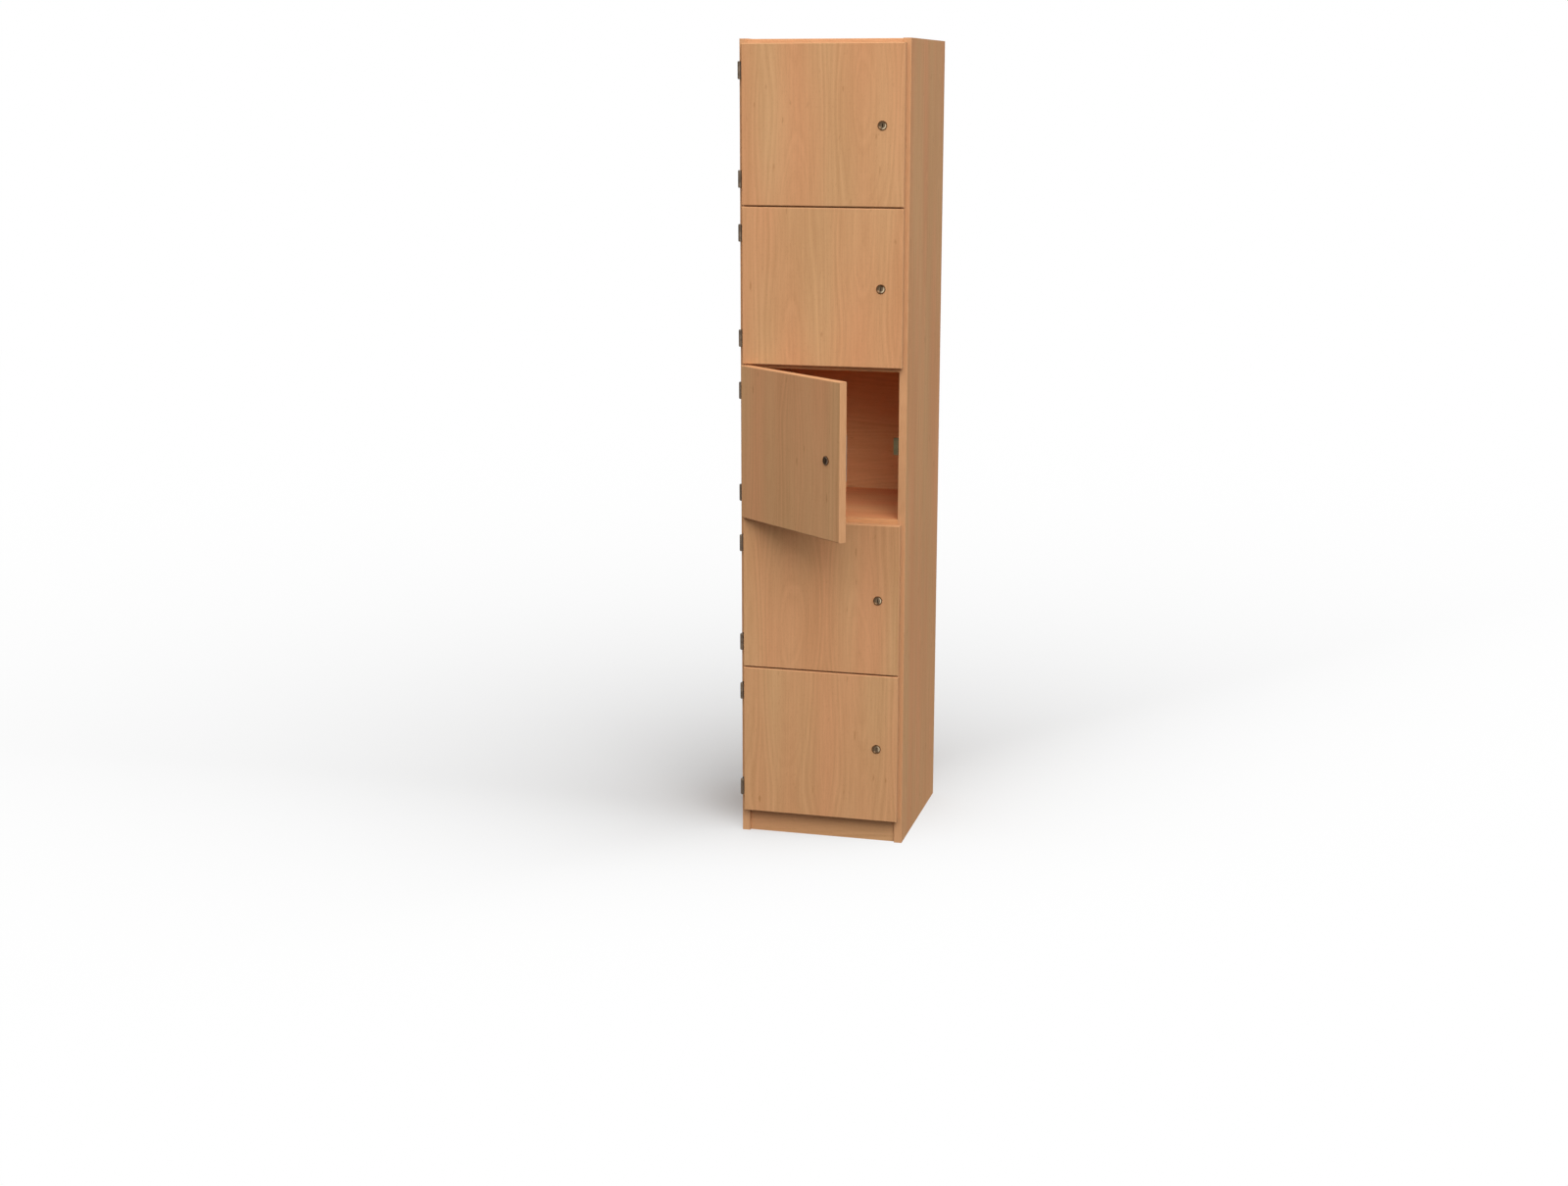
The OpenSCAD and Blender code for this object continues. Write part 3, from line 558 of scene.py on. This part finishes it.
def fasteners(node, body, stand=AS_DRAWN):
    """Shapes the plain screws of a node, and its nut if it has one, where the node has them."""
    shape = bmesh.new()
    upwards = sorted(solids(node, stand), key=height_and_place)
    for count, points in enumerate(upwards):
        low, high = corners_of(points)
        size = high - low
        middle = (low + high) / 2
        start = len(shape.verts)
        if min(size) < NUT_THICKEST and max(size) > NUT_ACROSS_FLATS:
            place = Matrix.Translation((middle.x, high.y, middle.z))
            place = place @ Matrix.Rotation(math.radians(90), 4, "X")
            shape.from_mesh(nut_shape(size.y))
        else:
            axis = max(range(3), key=lambda axis: size[axis])
            # The point furthest from the screw's axis is on the rim of its head
            rim = max(points, key=lambda point: (
                (point - middle).length_squared - (point - middle)[axis] ** 2))
            up = Vector([0.0, 0.0, 0.0])
            up[axis] = math.copysign(1.0, rim[axis] - middle[axis])
            place = Matrix.Translation(middle + up * size[axis] / 2)
            place = place @ up.to_track_quat("Z", "Y").to_matrix().to_4x4()
            place = place @ Matrix.Rotation(RECESS_TURN * count, 4, "Z")
            shape.from_mesh(screw)
        shape.verts.ensure_lookup_table()
        bmesh.ops.transform(shape, matrix=stand @ place, verts=shape.verts[start:])
    piece = bpy.data.objects.new(f"shaped_{node}", bpy.data.meshes.new(f"shaped_{node}"))
    shape.to_mesh(piece.data)
    shape.free()
    piece.data.materials.append(bright_zinc)
    bpy.context.scene.collection.objects.link(piece)
    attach(piece, body)
    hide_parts(node)


screw = screw_shape()
fasteners("carcass_screws", "carcass")
for k in DOORS:
    fasteners(f"door_fasteners_{k}", f"door_{k}", door_stand(k))

# Floor, sky and lamp

FLOOR_RADIUS = 30.0
FLOOR_SEGMENTS = 64
FLOOR_SEEN = "C8C8C8"
FLOOR_BOUNCE = "7C7C7C"
# The floor fades to white away from a middle, to the right and to the front, and where the fade reaches
# into the object's shadow it lightens it, as painted light: for each of these, the distance at which the
# fade begins and its strength per metre
FADE_MIDDLE = (-0.07, -0.073, 0.0)
FADE_RIGHT = (0.82, -0.573, 0.0)
FADE_FRONT = (0.0, -1.0, 0.0)
AROUND_START, AROUND_STRENGTH = 0.239, 1.06
RIGHT_START, RIGHT_STRENGTH = -0.048, 2.92
FRONT_START, FRONT_STRENGTH = 0.222, 1.89
FADE_SOFTNESS = 0.1


def seen_directly(tree):
    """1 where the camera looks, straight or by way of metal and glass, and 0 for light on the object."""
    path = add(tree, "LightPath").outputs
    seen = add(tree, "Math", {0: path["Is Camera Ray"], 1: path["Is Glossy Ray"]}, operation="MAXIMUM")
    return add(tree, "Math", {0: seen, 1: path["Is Transmission Ray"]}, operation="MAXIMUM")


def studio_floor():
    """Matt white studio floor, which fades into the white background. The fade also reaches into the
    object's shadow and lightens it towards its edges, as painted light, so the shadow's falloff is partly
    painted.
    """
    material, tree, whole = new_finish("studio_floor")
    around = add(tree, "VectorMath", {0: whole, 1: FADE_MIDDLE}, operation="DISTANCE")
    right = add(tree, "VectorMath", {0: whole, 1: FADE_RIGHT}, operation="DOT_PRODUCT")
    front = add(tree, "VectorMath", {0: whole, 1: FADE_FRONT}, operation="DOT_PRODUCT")
    fade = 0.0
    for reach, start, strength in (
            (around, AROUND_START, AROUND_STRENGTH), (right, RIGHT_START, RIGHT_STRENGTH),
            (front, FRONT_START, FRONT_STRENGTH)):
        past = add(tree, "Math", {0: reach.outputs["Value"], 1: start}, operation="SUBTRACT")
        past = add(tree, "Math", {0: past, 1: 0.0, 2: FADE_SOFTNESS}, operation="SMOOTH_MAX")
        fade = add(tree, "Math", {0: past, 1: strength, 2: fade}, operation="MULTIPLY_ADD")
    shade = add(tree, "Math", {0: math.exp(-1), 1: fade}, operation="POWER")
    seen = seen_directly(tree)
    tone = add(tree, "Mix", {
        0: seen, 6: linear(FLOOR_BOUNCE), 7: linear(FLOOR_SEEN)}, data_type="RGBA")
    matt = add(tree, "BsdfDiffuse", {"Color": tone})
    white = add(tree, "Emission", {"Strength": seen})
    add(tree, "OutputMaterial", {0: add(tree, "MixShader", {0: shade, 1: white, 2: matt})})
    return material


floor_shape = bmesh.new()
bmesh.ops.create_circle(floor_shape, cap_ends=True, segments=FLOOR_SEGMENTS, radius=FLOOR_RADIUS)
floor = bpy.data.objects.new("floor", bpy.data.meshes.new("floor"))
floor_shape.to_mesh(floor.data)
floor_shape.free()
floor.data.materials.append(studio_floor())
bpy.context.scene.collection.objects.link(floor)

# The sky is brightest at the upper front and right. Its upper part begins and is full at these rises.
UPPER_SKY = (0.25, 0.9)
SKY_TOP = 0.4
SKY_RIGHT = 2.2
SKY_FRONT_LOW = 0.82
SKY_FRONT_TOP = 2.45
SKY_BEHIND = (-0.25, 0.9, 0.0)
WHITE = (1.0, 1.0, 1.0, 1.0)

world = bpy.data.worlds.new("studio")
world.use_nodes = True
bpy.context.scene.world = world
sky = world.node_tree
sky.nodes.clear()
way = add(sky, "TexCoord").outputs["Generated"]
side, depth, rise = add(sky, "SeparateXYZ", {0: way}).outputs
upper = add(sky, "MapRange", {
    0: rise, 1: UPPER_SKY[0], 2: UPPER_SKY[1]}, interpolation_type="SMOOTHSTEP")
right = add(sky, "Math", {0: side, 1: 0.0}, operation="MAXIMUM")
front = add(sky, "Math", {0: depth, 1: -1.0}, operation="MULTIPLY")
front = add(sky, "Math", {0: front, 1: 0.0}, operation="MAXIMUM")
above = add(sky, "Math", {0: right, 1: SKY_RIGHT, 2: SKY_TOP}, operation="MULTIPLY_ADD")
above = add(sky, "Math", {0: above, 1: upper}, operation="MULTIPLY")
ahead = add(sky, "MapRange", {0: upper, 3: SKY_FRONT_LOW, 4: SKY_FRONT_TOP})
behind = add(sky, "VectorMath", {0: way, 1: SKY_BEHIND}, operation="DOT_PRODUCT").outputs["Value"]
behind = add(sky, "Math", {0: behind, 1: 0.0}, operation="MAXIMUM")
glow = add(sky, "Math", {0: front, 1: ahead, 2: above}, operation="MULTIPLY_ADD")
light = add(sky, "Background", {
    "Color": WHITE, "Strength": add(sky, "Math", {0: glow, 1: behind}, operation="ADD")})
backdrop = add(sky, "Background", {"Color": WHITE, "Strength": 1.0})
add(sky, "OutputWorld", {0: add(sky, "MixShader", {0: seen_directly(sky), 1: light, 2: backdrop})})

KEY_AIM = Vector((0.0, -0.38, 0.95))
KEY_DISTANCE = 5.0
KEY_SIDE = math.radians(29)
KEY_RISE = math.radians(32)
KEY_SIZE = 3.2
KEY_POWER = 99

key = bpy.data.objects.new("key", bpy.data.lights.new("key", "AREA"))
key.data.shape = "DISK"
key.data.size = KEY_SIZE
key.data.energy = KEY_POWER
away = Vector((
    math.sin(KEY_SIDE) * math.cos(KEY_RISE),
    -math.cos(KEY_SIDE) * math.cos(KEY_RISE),
    math.sin(KEY_RISE)))
key.location = KEY_AIM + KEY_DISTANCE * away
key.rotation_euler = away.to_track_quat("Z", "Y").to_euler()
bpy.context.scene.collection.objects.link(key)
